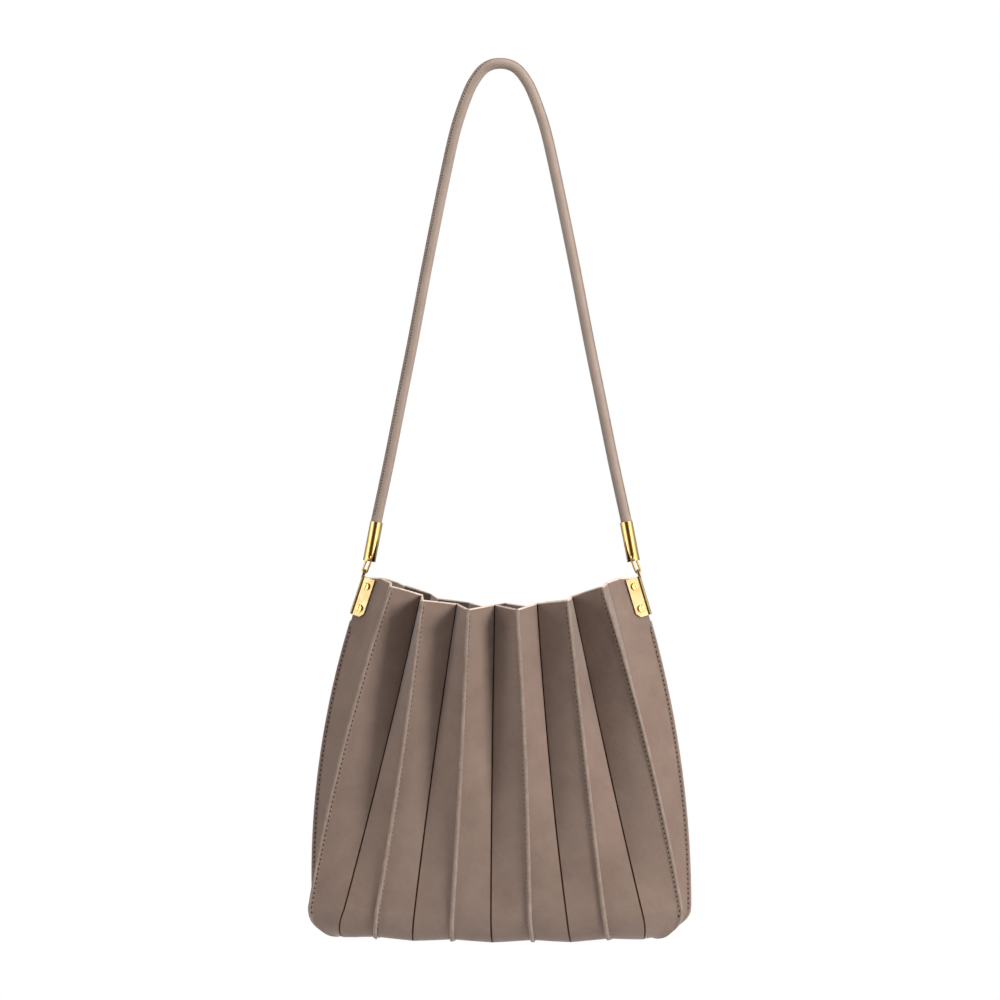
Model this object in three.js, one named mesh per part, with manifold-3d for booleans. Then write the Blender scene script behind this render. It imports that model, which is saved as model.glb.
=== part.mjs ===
// An accordion shoulder bag of leather, hanging by its rolled strap.
// Millimetres, +Z up, the front faces -Y. The origin is the underside of the strap's highest point.

import * as THREE from 'three';
import { mergeVertices } from 'three/addons/utils/BufferGeometryUtils.js';
import Module from 'manifold-3d';

const wasm = await Module();
wasm.setup();

// Driving dimensions of the body
const rimHalfWidth = 96.4;      // side fold to side fold at the rim, halved
const rimHalfDepth = 69;        // front seam to back seam at the rim, halved
const rimDrop = 357;            // from the hanging point down to the rim's side corners
const rimSag = 21;              // the rim's middle hangs this much lower than its side corners
const bodyHeight = 250;         // from the rim's side corners down to the underside
const footHalfWidth = 133;      // half width where the walls turn under
const footHalfDepth = 54;       // half depth there
const footLift = 4;             // the base curves up by this much at its two ends
const turnRadius = 17;          // inside radius of the turned-under edge
const coreCorner = 20;          // corner radius of the outline that the turn ends on
const turnEase = 1.5;           // how late the folds flatten on their way round the turn
const flange = 8;               // the turned-under edge reaches this far in below the base
const gap = 0.3;                // clearance between neighbouring pieces

// Leather
const wall = 1.4;
const seamGap = 0.4;            // between the two layers of a standing seam
const finWidth = 3.5;           // a standing seam stands out this far
const foldEase = 1.6;           // how late the folds flatten on their way down
const baseThickness = 2;

// Strap
const strapDiameter = 7.2;
const strapSeamWidth = 0.4;     // the raised seam stands this far out of the roll
const strapSeamThickness = 2.4;
const strapPlugDiameter = 6.8;  // the end that is pressed into the ferrule
const strapTaper = 3;           // it narrows over this length above the ferrule
const strapPlug = 15;           // length inside the ferrule
const strapPlugSeam = 0.02;     // the seam is pared away there
const strapStepsPerRow = 2;     // cross-sections for each row of its route

// Ferrules, pins and links
const ferruleDiameter = 8.9;
const ferruleLength = 28;
const ferruleTilt = 10.9;       // degrees from upright, leaning towards the middle
const ferruleWall = 0.75;
const ferruleBead = 0.35;       // the rolled edge at both ends stands out this far
const ferruleBeadLength = 2;
const ferruleWeb = 2;
const pinDiameter = 1.8;
const pinHeight = 2.6;          // pin axis above the ferrule's lower end
const pinHead = 2.8;
const pinHeadHeight = 0.6;
const linkLength = 14.9;
const linkTilt = 21;            // degrees from upright
const linkWidth = 5.4;
const linkWire = 1.5;

// Clamps and screws
const clampWall = 1.2;
const clampLength = 27.7;
const clampLeaf = 9.4;          // width of one slanted leaf
const clampOpening = 30;        // degrees between a leaf and the bag's side-to-side plane
const clampFit = 0.45;          // clearance between clamp and leather
const clampFin = 1.4;           // the side seam is trimmed to this width under the clamp
const clampRise = 1.2;          // the clamp stands this far above the rim's side corner
const clampCorner = 2.2;        // cut off each leaf's lower corner
const eyeWire = 1.6;
const eyeRadius = 2.3;          // of the eye's centre line
const eyeLeg = 2;               // from the clamp's top to the start of the eye's arch
const screwHead = 5.5;
const screwHeadHeight = 1;
const screwShank = 2.8;
const screwSlotWidth = 0.8;
const screwSlotDepth = 0.5;
const screwBack = 4.2;
const screwBackHeight = 0.7;
const screwSpacing = 16;
const screwAcross = 5;          // from the leaf's bend to the screw's axis
const screwFromTop = 6;

// One row per fold from the left side seam to the right one, ridges and valleys in turn. rimX and
// footX are shares of the half widths, rimY and footY of the half depths, sag is a share of rimSag,
// bow is how far the fold bends outwards half-way down, as a share of rimHalfWidth.
const folds = [
  { kind: 'ridge', rimX: -0.993, rimY: 0.00, sag: 0.00, footX: -0.995, footY: 0.00, bow: -0.115 },
  { kind: 'valley', rimX: -0.770, rimY: 0.29, sag: 0.14, footX: -0.860, footY: 0.37, bow: -0.060 },
  { kind: 'ridge', rimX: -0.750, rimY: 0.69, sag: 0.28, footX: -0.978, footY: 0.75, bow: -0.050 },
  { kind: 'valley', rimX: -0.530, rimY: 0.45, sag: 0.55, footX: -0.783, footY: 0.87, bow: 0.010 },
  { kind: 'ridge', rimX: -0.517, rimY: 0.85, sag: 0.72, footX: -0.614, footY: 0.97, bow: 0.020 },
  { kind: 'valley', rimX: -0.264, rimY: 0.65, sag: 0.84, footX: -0.415, footY: 0.92, bow: -0.012 },
  { kind: 'ridge', rimX: -0.176, rimY: 1.00, sag: 1.00, footX: -0.217, footY: 1.00, bow: 0.010 },
  { kind: 'valley', rimX: 0.004, rimY: 0.70, sag: 0.86, footX: -0.017, footY: 0.92, bow: -0.005 },
  { kind: 'ridge', rimX: 0.177, rimY: 1.00, sag: 1.00, footX: 0.187, footY: 1.00, bow: 0.018 },
  { kind: 'valley', rimX: 0.300, rimY: 0.67, sag: 0.82, footX: 0.374, footY: 0.92, bow: -0.020 },
  { kind: 'ridge', rimX: 0.538, rimY: 0.88, sag: 0.72, footX: 0.568, footY: 0.97, bow: 0.000 },
  { kind: 'valley', rimX: 0.535, rimY: 0.48, sag: 0.60, footX: 0.763, footY: 0.87, bow: -0.010 },
  { kind: 'ridge', rimX: 0.777, rimY: 0.72, sag: 0.28, footX: 0.972, footY: 0.75, bow: 0.042 },
  { kind: 'valley', rimX: 0.780, rimY: 0.29, sag: 0.14, footX: 0.865, footY: 0.37, bow: 0.060 },
  { kind: 'ridge', rimX: 1.007, rimY: 0.00, sag: 0.00, footX: 1.005, footY: 0.00, bow: 0.095 },
];

// Cross-sections of a gore from the rim down, as shares of the straight part, then round the turn.
const clampShare = 0.13;        // the side seams run straight and trimmed down to here
const straightShares = [0, clampShare, 0.17, 0.3, 0.45, 0.6, 0.74, 0.88, 1];
const pinchFade = 0.25;         // share of the height in which the pinched corner opens again
const turnRows = [
  { degrees: 28, fin: 1 },
  { degrees: 58, fin: 0.8 },
  { degrees: 90, fin: 0.06 },
];

// The strap's middle line from its highest point down one leg, as shares of its half span and drop.
const strapRoute = [
  { x: 0, z: 0 }, { x: 0.07, z: 0.003 }, { x: 0.133, z: 0.0125 }, { x: 0.188, z: 0.03 },
  { x: 0.245, z: 0.057 }, { x: 0.319, z: 0.11 }, { x: 0.375, z: 0.163 }, { x: 0.4375, z: 0.24 },
  { x: 0.498, z: 0.319 }, { x: 0.593, z: 0.448 }, { x: 0.703, z: 0.606 }, { x: 0.799, z: 0.736 },
  { x: 0.896, z: 0.868 }, { x: 1, z: 1 },
];

// Small helpers

function flatten(points) {
  return new Float32Array(points.flatMap((p) => [p.x, p.y, p.z]));
}

function meshFrom(points, triangles) {
  const geometry = new THREE.BufferGeometry();
  geometry.setAttribute('position', new THREE.BufferAttribute(flatten(points), 3));
  geometry.setIndex(triangles);
  return geometry;
}

// Joins rings of equal length into a skin, closed by caps or into a loop. A cap is a list of
// triangles within one ring, and turned(j) says which way the square beside point j is halved.
function loft(rings, cap, turned = () => false) {
  const count = rings[0].length;
  const steps = cap ? rings.length - 1 : rings.length;
  const triangles = [];
  for (let k = 0; k < steps; k += 1) {
    const a = k * count;
    const b = ((k + 1) % rings.length) * count;
    for (let j = 0; j < count; j += 1) {
      const n = (j + 1) % count;
      if (turned(j)) triangles.push(a + j, b + j, a + n, a + n, b + j, b + n);
      else triangles.push(a + j, b + j, b + n, a + j, b + n, a + n);
    }
  }
  if (cap) {
    const last = steps * count;
    for (const [p, q, r] of cap) triangles.push(p, q, r, last + p, last + r, last + q);
  }
  return facingOut(meshFrom(rings.flat(), triangles));
}

// Turns a closed skin's triangles round if its signed volume is negative.
function facingOut(geometry) {
  const position = geometry.attributes.position;
  const index = geometry.index.array;
  const [a, b, c] = [new THREE.Vector3(), new THREE.Vector3(), new THREE.Vector3()];
  let volume = 0;
  for (let i = 0; i < index.length; i += 3) {
    a.fromBufferAttribute(position, index[i]);
    b.fromBufferAttribute(position, index[i + 1]);
    c.fromBufferAttribute(position, index[i + 2]);
    volume += a.dot(b.cross(c));
  }
  if (volume < 0) {
    for (let i = 0; i < index.length; i += 3) {
      [index[i + 1], index[i + 2]] = [index[i + 2], index[i + 1]];
    }
  }
  return geometry;
}

// Triangles that close a ring, from the ring drawn as a flat outline, wound the way it is
function capOf(outline) {
  const way = Math.sign(THREE.ShapeUtils.area(outline));
  return THREE.ShapeUtils.triangulateShape(outline, []).map(([p, q, r]) => {
    const area = THREE.ShapeUtils.area([outline[p], outline[q], outline[r]]);
    return Math.sign(area) === way ? [p, q, r] : [p, r, q];
  });
}

function toSolid(geometry) {
  const bare = geometry.clone();
  bare.deleteAttribute('normal');
  bare.deleteAttribute('uv');
  const merged = mergeVertices(bare, 1e-4);
  return new wasm.Manifold(new wasm.Mesh({
    numProp: 3,
    vertProperties: merged.attributes.position.array,
    triVerts: Uint32Array.from(merged.index.array),
  }));
}

function fromSolid(solid) {
  const mesh = solid.getMesh();
  const geometry = new THREE.BufferGeometry();
  geometry.setAttribute('position', new THREE.BufferAttribute(mesh.vertProperties.slice(), 3));
  geometry.setIndex([...mesh.triVerts]);
  return geometry;
}

function joined(first, ...others) {
  return fromSolid(others.reduce((solid, next) => solid.add(toSolid(next)), toSolid(first)));
}

function cut(body, ...tools) {
  return fromSolid(tools.reduce((solid, tool) => solid.subtract(toSolid(tool)), toSolid(body)));
}

function cylinder(diameter, height, sides) {
  return new THREE.CylinderGeometry(diameter / 2, diameter / 2, height, sides);
}

function mix(a, b, share) {
  return a + (b - a) * share;
}

// The folded wall

const turnTop = -(rimDrop + bodyHeight) + turnRadius + wall;
const coreHalfWidth = footHalfWidth * 0.83;
const coreHalfDepth = footHalfDepth * 0.92 - turnRadius;

function liftAt(x) {
  return footLift * (x / footHalfWidth) ** 2;
}

function foldPoint(fold, share) {
  const ease = share ** foldEase;
  const x = mix(fold.rimX * rimHalfWidth, fold.footX * footHalfWidth, share)
    + fold.bow * rimHalfWidth * 4 * share * (1 - share);
  const y = -mix(fold.rimY * rimHalfDepth, fold.footY * footHalfDepth, ease);
  const top = -rimDrop - fold.sag * rimSag;
  const bottom = turnTop + liftAt(fold.footX * footHalfWidth);
  return new THREE.Vector3(x, y, mix(top, bottom, share));
}

// Where a side seam is trimmed for its clamp, the fold is straight, so the clamp can lie flat on it.
function sidePoint(fold, share) {
  if (share >= clampShare) {
    return foldPoint(fold, share);
  }
  return foldPoint(fold, 0).lerp(foldPoint(fold, clampShare), share / clampShare);
}

function mirrored(point) {
  return new THREE.Vector3(point.x, -point.y, point.z);
}

function neighbour(index, side, share) {
  const next = index + side;
  if (next < 0) return mirrored(foldPoint(folds[1], share));
  if (next >= folds.length) return mirrored(foldPoint(folds[folds.length - 2], share));
  return foldPoint(folds[next], share);
}

// The direction in which a standing seam stands out, in plan
function seamDirection(index, share) {
  const middle = neighbour(index, -1, share).add(neighbour(index, 1, share)).multiplyScalar(0.5);
  const out = foldPoint(folds[index], share).sub(middle);
  out.z = 0;
  return out.normalize();
}

function isSide(index) {
  return index === 0 || index === folds.length - 1;
}

function finAt(index, share) {
  return isSide(index) && share <= clampShare ? clampFin : finWidth;
}

// Between the clamp's leaves the leather is pinched, and it opens again below them.
function pinchedHalf(root, fold, out) {
  const reach = root.distanceTo(fold) / 2;
  const lean = THREE.MathUtils.degToRad(clampOpening);
  const inwards = new THREE.Vector3(-Math.sign(out.x) * Math.cos(lean), -Math.sin(lean), 0);
  return root.clone().addScaledVector(inwards, reach);
}

function pinchAt(share) {
  return THREE.MathUtils.clamp(1 - (share - clampShare) / pinchFade, 0, 1);
}

// The inner face of one gore in plan: seam edge, seam root, half-way, valley, and back out again.
function innerLine(valley, share, finShare) {
  const line = [];
  const fold = foldPoint(folds[valley], share);
  for (const side of [-1, 1]) {
    const index = valley + side;
    const edge = sidePoint(folds[index], share);
    const out = seamDirection(index, share);
    const along = new THREE.Vector3(-out.y, out.x, 0).multiplyScalar(-side * seamGap / 2);
    const fin = finAt(index, share);
    const root = edge.clone().addScaledVector(out, -fin).add(along);
    const tip = root.clone().addScaledVector(out, fin * finShare);
    const half = root.clone().lerp(fold, 0.5);
    if (isSide(index)) half.lerp(pinchedHalf(root, fold, out), pinchAt(share));
    if (side === -1) line.push(tip, root, half, fold);
    else line.push(half, root, tip);
  }
  return line;
}

// The outer face: the inner one moved out by the wall, mitred at each bend.
function outerLine(line) {
  const normals = line.slice(1).map((point, i) => {
    const step = point.clone().sub(line[i]);
    return new THREE.Vector3(step.y, -step.x, 0).normalize();
  });
  return line.map((point, i) => {
    const before = normals[Math.max(0, i - 1)];
    const after = normals[Math.min(normals.length - 1, i)];
    const mitre = before.clone().add(after).multiplyScalar(wall / (1 + before.dot(after)));
    return point.clone().add(mitre);
  });
}

// Bends a plan point round the turned-under edge, then on along the flange. The layer is the
// point's distance from the inner face.
function bend(point, layer, degrees, reach) {
  const boxX = coreHalfWidth - coreCorner;
  const boxY = coreHalfDepth - coreCorner;
  const corner = new THREE.Vector3(
    THREE.MathUtils.clamp(point.x, -boxX, boxX), THREE.MathUtils.clamp(point.y, -boxY, boxY), 0);
  const out = new THREE.Vector3(point.x, point.y, 0).sub(corner);
  const radius = out.length() - coreCorner;
  out.normalize();
  const angle = THREE.MathUtils.degToRad(degrees);
  const swing = mix(radius, turnRadius + layer, (degrees / 90) ** turnEase);
  const bent = corner.addScaledVector(out, coreCorner + swing * Math.cos(angle) - reach);
  bent.z = turnTop - swing * Math.sin(angle) + liftAt(bent.x);
  return bent;
}

function ringFrom(inner, outer) {
  return [...inner, ...outer.slice().reverse()];
}

function goreRings(valley) {
  const rings = straightShares.map((share) => {
    const inner = innerLine(valley, share, 1);
    return ringFrom(inner, outerLine(inner));
  });
  const addTurn = (degrees, finShare, reach) => {
    const inner = innerLine(valley, 1, finShare);
    const bent = (layer) => (point) => bend(point, layer, degrees, reach);
    rings.push(ringFrom(inner.map(bent(0)), outerLine(inner).map(bent(wall))));
  };
  for (const row of turnRows) addTurn(row.degrees, row.fin, 0);
  addTurn(90, turnRows[turnRows.length - 1].fin, flange);
  return rings;
}

// Triangles of a ribbon-shaped ring, whose second half runs back beside its first half
function ribbonCap(count) {
  const cap = [];
  for (let j = 0; j < count / 2 - 1; j += 1) {
    const far = count - 1 - j;
    cap.push([j, j + 1, far - 1], [j, far - 1, far]);
  }
  return cap;
}

// Beside a seam both gores halve their squares alike, so the layers can't touch.
function gore(valley) {
  const rings = goreRings(valley);
  const count = rings[0].length;
  const turned = (j) => (j >= count / 4 - 0.5 && j < (3 * count) / 4);
  return loft(rings, ribbonCap(count), turned);
}

function behind(geometry) {
  const copy = geometry.clone().applyMatrix4(new THREE.Matrix4().makeScale(1, -1, 1));
  return facingOut(copy);
}

// The base panel: a curved plate that lies on the turned-under edges

function baseHalfDepthAt(x, halfWidth, halfDepth, corner) {
  const into = Math.max(0, Math.abs(x) - (halfWidth - corner));
  return halfDepth - corner + Math.sqrt(Math.max(0, corner ** 2 - into ** 2));
}

function base() {
  const inset = gap;
  const halfWidth = coreHalfWidth - inset;
  const halfDepth = coreHalfDepth - inset;
  const corner = coreCorner - inset;
  const straight = halfWidth - corner;
  const stations = [];
  for (const degrees of [90, 75, 55, 35, 15]) {
    stations.push(straight + corner * Math.sin(THREE.MathUtils.degToRad(degrees)));
  }
  for (const share of [1, 0.66, 0.33, 0]) stations.push(straight * share);
  const all = [...stations.map((x) => -x), ...stations.slice(0, -1).reverse()];
  const bottom = turnTop - turnRadius + gap;
  const rings = all.map((x) => {
    const y = baseHalfDepthAt(x, halfWidth, halfDepth, corner);
    const low = bottom + liftAt(x);
    const high = low + baseThickness;
    return [
      new THREE.Vector3(x, -y, low), new THREE.Vector3(x, y, low),
      new THREE.Vector3(x, y, high), new THREE.Vector3(x, -y, high),
    ];
  });
  return loft(rings, [[0, 1, 2], [0, 2, 3]]);
}

// Clamps: a V-shaped plate folded over the side seam, with an eye on top

const lean = THREE.MathUtils.degToRad(clampOpening);

// The place of one side's clamp: its axis runs up along the side seam's edge.
function clampFrame(side) {
  const fold = side < 0 ? folds[0] : folds[folds.length - 1];
  const top = sidePoint(fold, 0);
  const up = top.clone().sub(sidePoint(fold, clampShare)).normalize();
  const across = new THREE.Vector3(0, side, 0);
  const out = new THREE.Vector3().crossVectors(across, up);
  const basis = new THREE.Matrix4().makeBasis(out, across, up);
  return { top, out, up, basis };
}

// A bend of the clamp's section at a given distance from the leather's inner face
function bendCorner(offset) {
  return new THREE.Vector2(-clampFin + offset * Math.tan(lean / 2), seamGap / 2 + offset);
}

const leafAlong = new THREE.Vector2(-Math.cos(lean), Math.sin(lean));
const leafNormal = new THREE.Vector2(Math.sin(lean), Math.cos(lean));

function clampOutline() {
  const inside = wall + clampFit;
  const outside = inside + clampWall;
  const chamfer = clampWall * 0.75;
  const innerBend = bendCorner(inside);
  const outerBend = bendCorner(outside);
  const innerEnd = innerBend.clone().addScaledVector(leafAlong, clampLeaf);
  const outerEnd = innerEnd.clone().addScaledVector(leafNormal, clampWall);
  const spine = clampFit + clampWall;
  const half = [
    new THREE.Vector2(clampFit, innerBend.y), innerBend, innerEnd, outerEnd, outerBend,
    new THREE.Vector2(spine - chamfer, outerBend.y), new THREE.Vector2(spine, outerBend.y - chamfer),
  ];
  const other = half.map((p) => new THREE.Vector2(p.x, -p.y)).reverse();
  return [...half, ...other];
}

function wireRing(centre, radius, across, out, sides) {
  return Array.from({ length: sides }, (_, i) => {
    const angle = (i / sides) * 2 * Math.PI;
    return centre.clone()
      .addScaledVector(across, radius * Math.cos(angle))
      .addScaledVector(out, radius * Math.sin(angle));
  });
}

// The clamp's eye: two short legs and an arch, across the bag's side
function eye() {
  const wireSides = 6;
  const middle = clampFit + clampWall / 2;
  const rooted = clampWall;
  const archSteps = 8;
  const stations = [{ y: -eyeRadius, z: clampRise - rooted, turn: 0 }];
  for (let i = 0; i <= archSteps; i += 1) {
    const turn = (i / archSteps) * Math.PI;
    stations.push({
      y: -eyeRadius * Math.cos(turn), z: clampRise + eyeLeg + eyeRadius * Math.sin(turn), turn,
    });
  }
  stations.push({ y: eyeRadius, z: clampRise - rooted, turn: Math.PI });
  const rings = stations.map(({ y, z, turn }) => {
    const outwards = new THREE.Vector3(0, -Math.cos(turn), Math.sin(turn));
    return wireRing(new THREE.Vector3(middle, y, z), eyeWire / 2,
      new THREE.Vector3(1, 0, 0), outwards, wireSides);
  });
  const outline = wireRing(new THREE.Vector3(), 1, new THREE.Vector3(1, 0, 0),
    new THREE.Vector3(0, 1, 0), wireSides).map((p) => new THREE.Vector2(p.x, p.y));
  return loft(rings, capOf(outline));
}

// A leaf's own directions within the clamp: x across the leaf, y away from the leather, z upwards
function leafMatrix(leaf, fromTop) {
  const corner = bendCorner(0).addScaledVector(leafAlong, screwAcross);
  const normal = new THREE.Vector3(leafNormal.x, leaf * leafNormal.y, 0);
  const up = new THREE.Vector3(0, 0, 1);
  const across = new THREE.Vector3().crossVectors(normal, up);
  return new THREE.Matrix4().makeBasis(across, normal, up)
    .setPosition(corner.x, leaf * corner.y, clampRise - fromTop);
}

const screwRows = [
  { name: 'upper', fromTop: screwFromTop },
  { name: 'lower', fromTop: screwFromTop + screwSpacing },
];

function holeTool(leaf, fromTop) {
  const reach = 2 * (wall + clampFit + clampWall);
  return cylinder(screwShank + 2 * gap, reach, 10).applyMatrix4(leafMatrix(leaf, fromTop));
}

function cornerTool(leaf) {
  const tool = new THREE.BoxGeometry(clampCorner * 2, clampLeaf, clampCorner * 2);
  tool.rotateY(Math.PI / 4);
  const end = bendCorner(wall + clampFit + clampWall / 2).addScaledVector(leafAlong, clampLeaf);
  const normal = new THREE.Vector3(leafNormal.x, leaf * leafNormal.y, 0);
  const up = new THREE.Vector3(0, 0, 1);
  const across = new THREE.Vector3().crossVectors(normal, up);
  const place = new THREE.Matrix4().makeBasis(across, normal, up)
    .setPosition(end.x, leaf * end.y, clampRise - clampLength);
  return tool.applyMatrix4(place);
}

function clamp() {
  const outline = clampOutline();
  const rings = [clampRise - clampLength, clampRise].map(
    (z) => outline.map((p) => new THREE.Vector3(p.x, p.y, z)));
  const holes = [-1, 1].flatMap((leaf) => screwRows.map((row) => holeTool(leaf, row.fromTop)));
  const plate = cut(loft(rings, capOf(outline)), ...holes, cornerTool(-1), cornerTool(1));
  return joined(plate, eye());
}

// A screw: slotted head outside, shank through leaf and leather, flat disc inside
function screw() {
  const headFrom = wall + clampFit + clampWall + gap;
  const top = headFrom + screwHeadHeight;
  const profile = [
    [0, -gap - screwBackHeight], [screwBack / 2, -gap - screwBackHeight], [screwBack / 2, -gap],
    [screwShank / 2, -gap], [screwShank / 2, headFrom], [screwHead / 2, headFrom],
    [screwHead / 2, headFrom + screwHeadHeight * 0.6], [screwHead * 0.42, top], [0, top],
  ];
  const body = new THREE.LatheGeometry(profile.map(([r, y]) => new THREE.Vector2(r, y)), 12);
  const slot = new THREE.BoxGeometry(screwSlotWidth, 2 * screwSlotDepth, screwHead * 1.2);
  slot.translate(0, top, 0);
  return cut(body, slot);
}

// Ferrules: a tube with a web between the strap's socket and the hollow for the link

function ferrule() {
  const outer = ferruleDiameter / 2;
  const bead = outer + ferruleBead;
  const socket = strapPlugDiameter / 2 + gap;
  const hollow = outer - ferruleWall;
  const webTop = ferruleLength - strapPlug - gap;
  const edge = ferruleBead;
  const profile = [
    [0, webTop - ferruleWeb], [hollow, webTop - ferruleWeb], [hollow, 0], [outer, 0], [bead, edge],
    [bead, ferruleBeadLength], [outer, ferruleBeadLength + edge],
    [outer, ferruleLength - ferruleBeadLength - edge], [bead, ferruleLength - ferruleBeadLength],
    [bead, ferruleLength - edge], [outer, ferruleLength], [socket, ferruleLength],
    [socket, webTop], [0, webTop],
  ];
  const body = new THREE.LatheGeometry(profile.map(([r, y]) => new THREE.Vector2(r, y)), 20);
  body.rotateX(Math.PI / 2);
  const hole = cylinder(pinDiameter + 2 * gap, ferruleDiameter * 2, 10);
  hole.translate(0, 0, pinHeight);
  return cut(body, hole);
}

function pin() {
  const reach = ferruleDiameter / 2 + ferruleBead + gap;
  const profile = [
    [0, -reach - pinHeadHeight], [pinHead / 3, -reach - pinHeadHeight], [pinHead / 2, -reach],
    [pinDiameter / 2, -reach], [pinDiameter / 2, reach], [pinHead / 2, reach],
    [pinHead / 3, reach + pinHeadHeight], [0, reach + pinHeadHeight],
  ];
  return new THREE.LatheGeometry(profile.map(([r, y]) => new THREE.Vector2(r, y)), 10);
}

// A link: an oval loop of wire, upright in the bag's side-to-side plane, its middle at the origin
function link() {
  const endRadius = (linkWidth - linkWire) / 2;
  const straight = linkLength - linkWire - 2 * endRadius;
  const arcSteps = 6;
  const rings = [];
  for (const end of [1, -1]) {
    for (let i = 0; i <= arcSteps; i += 1) {
      const angle = (i / arcSteps) * Math.PI + (end < 0 ? Math.PI : 0);
      const out = new THREE.Vector3(Math.cos(angle), 0, Math.sin(angle));
      const centre = out.clone().multiplyScalar(endRadius);
      centre.z += (end * straight) / 2;
      rings.push(wireRing(centre, linkWire / 2, out, new THREE.Vector3(0, 1, 0), 6));
    }
  }
  return loft(rings, null);
}

// The chain of fittings on one side, from the clamp's eye up to the ferrule's mouth
function fittings(side) {
  const frame = clampFrame(side);
  const archTop = frame.top.clone()
    .addScaledVector(frame.out, clampFit + clampWall / 2)
    .addScaledVector(frame.up, clampRise + eyeLeg + eyeRadius);
  const slope = (degrees) => {
    const angle = THREE.MathUtils.degToRad(degrees);
    return new THREE.Vector3(-side * Math.sin(angle), 0, Math.cos(angle));
  };
  const linkUp = slope(linkTilt);
  const inner = linkLength - 2 * linkWire;
  const pinReach = pinDiameter / 2 + gap;
  const eyeReach = eyeWire / 2 + gap;
  const pinPlace = archTop.clone().addScaledVector(linkUp, inner - pinReach - eyeReach);
  const linkPlace = pinPlace.clone().addScaledVector(linkUp, pinReach - inner / 2);
  const ferruleUp = slope(ferruleTilt);
  const ferrulePlace = pinPlace.clone().addScaledVector(ferruleUp, -pinHeight);
  const mouth = ferrulePlace.clone().addScaledVector(ferruleUp, ferruleLength);
  return { frame, linkPlace, linkUp, pinPlace, ferrulePlace, ferruleUp, mouth };
}

const sides = [{ name: 'left', side: -1 }, { name: 'right', side: 1 }];
const fittingsOf = new Map(sides.map(({ side }) => [side, fittings(side)]));

// Strap: a roll with a raised seam along its outer side

function strapSection(core, seam) {
  const radius = core / 2;
  const half = strapSeamThickness / 2;
  const start = Math.asin(half / radius);
  const roundSteps = 8;
  const points = [];
  for (let i = 0; i <= roundSteps; i += 1) {
    const angle = mix(start, 2 * Math.PI - start, i / roundSteps);
    points.push(new THREE.Vector2(radius * Math.cos(angle), radius * Math.sin(angle)));
  }
  const tip = radius + seam;
  points.push(new THREE.Vector2(tip, -half), new THREE.Vector2(tip, half));
  return points;
}

function strapLine() {
  const top = strapDiameter / 2;
  const leg = (side) => {
    const { mouth } = fittingsOf.get(side);
    return strapRoute.map((row) => new THREE.Vector3(
      Math.abs(mouth.x) * row.x * side, 0, mix(top, mouth.z, row.z)));
  };
  return new THREE.CatmullRomCurve3([...leg(-1).reverse(), ...leg(1).slice(1)], false, 'catmullrom');
}

function strapRing(centre, tangent, section) {
  const out = new THREE.Vector3(-tangent.z, 0, tangent.x).normalize();
  const across = new THREE.Vector3(0, 1, 0);
  return section.map((p) => centre.clone().addScaledVector(out, p.x).addScaledVector(across, p.y));
}

function strap() {
  const line = strapLine();
  const steps = (strapRoute.length - 1) * 2 * strapStepsPerRow;
  const taperAt = line.getUtoTmapping(strapTaper / line.getLength());
  const full = strapSection(strapDiameter, strapSeamWidth);
  const plug = strapSection(strapPlugDiameter, strapPlugSeam);
  const rings = [];
  const plugEnd = (side) => {
    const { mouth, ferruleUp } = fittingsOf.get(side);
    const tangent = ferruleUp.clone().multiplyScalar(-side);
    const places = [strapPlug, -strapTaper * 0.2].map(
      (depth) => mouth.clone().addScaledVector(ferruleUp, -depth));
    const ends = places.map((place) => strapRing(place, tangent, plug));
    return side < 0 ? ends : ends.reverse();
  };
  rings.push(...plugEnd(-1));
  for (let i = 0; i <= steps; i += 1) {
    const at = THREE.MathUtils.clamp(i / steps, taperAt, 1 - taperAt);
    rings.push(strapRing(line.getPoint(at), line.getTangent(at), full));
  }
  rings.push(...plugEnd(1));
  return loft(rings, capOf(full));
}

// Assembly

function material(colour, roughness, metalness) {
  return new THREE.MeshStandardMaterial({ color: colour, roughness, metalness });
}

const bodyLeather = material(0x8a7568, 0.55, 0);
const strapLeather = material(0x9a8574, 0.55, 0);
const polishedGold = material(0xd8a848, 0.15, 1);
const satinGold = material(0xd4b070, 0.35, 1);

const group = new THREE.Group();

function place(parent, name, geometry, finish) {
  const mesh = new THREE.Mesh(geometry, finish);
  mesh.name = name;
  parent.add(mesh);
  return mesh;
}

function turnUpright(object, up) {
  object.quaternion.setFromUnitVectors(new THREE.Vector3(0, 0, 1), up);
}

const valleys = folds.map((fold, index) => index).filter((index) => folds[index].kind === 'valley');
valleys.forEach((valley, order) => {
  const number = order + 1;
  let front = gore(valley);
  let back = behind(front);
  for (const { side } of sides) {
    if (valley === (side < 0 ? valleys[0] : valleys[valleys.length - 1])) {
      const { top, basis } = clampFrame(side);
      const toBag = basis.clone().setPosition(top);
      const holes = (leaf) => screwRows.map((row) => holeTool(leaf, row.fromTop).applyMatrix4(toBag));
      front = cut(front, ...holes(-side));
      back = cut(back, ...holes(side));
    }
  }
  place(group, `gore_front_${number}`, front, bodyLeather);
  place(group, `gore_back_${number}`, back, bodyLeather);
});
place(group, 'base', base(), bodyLeather);
place(group, 'strap', strap(), strapLeather);

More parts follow.
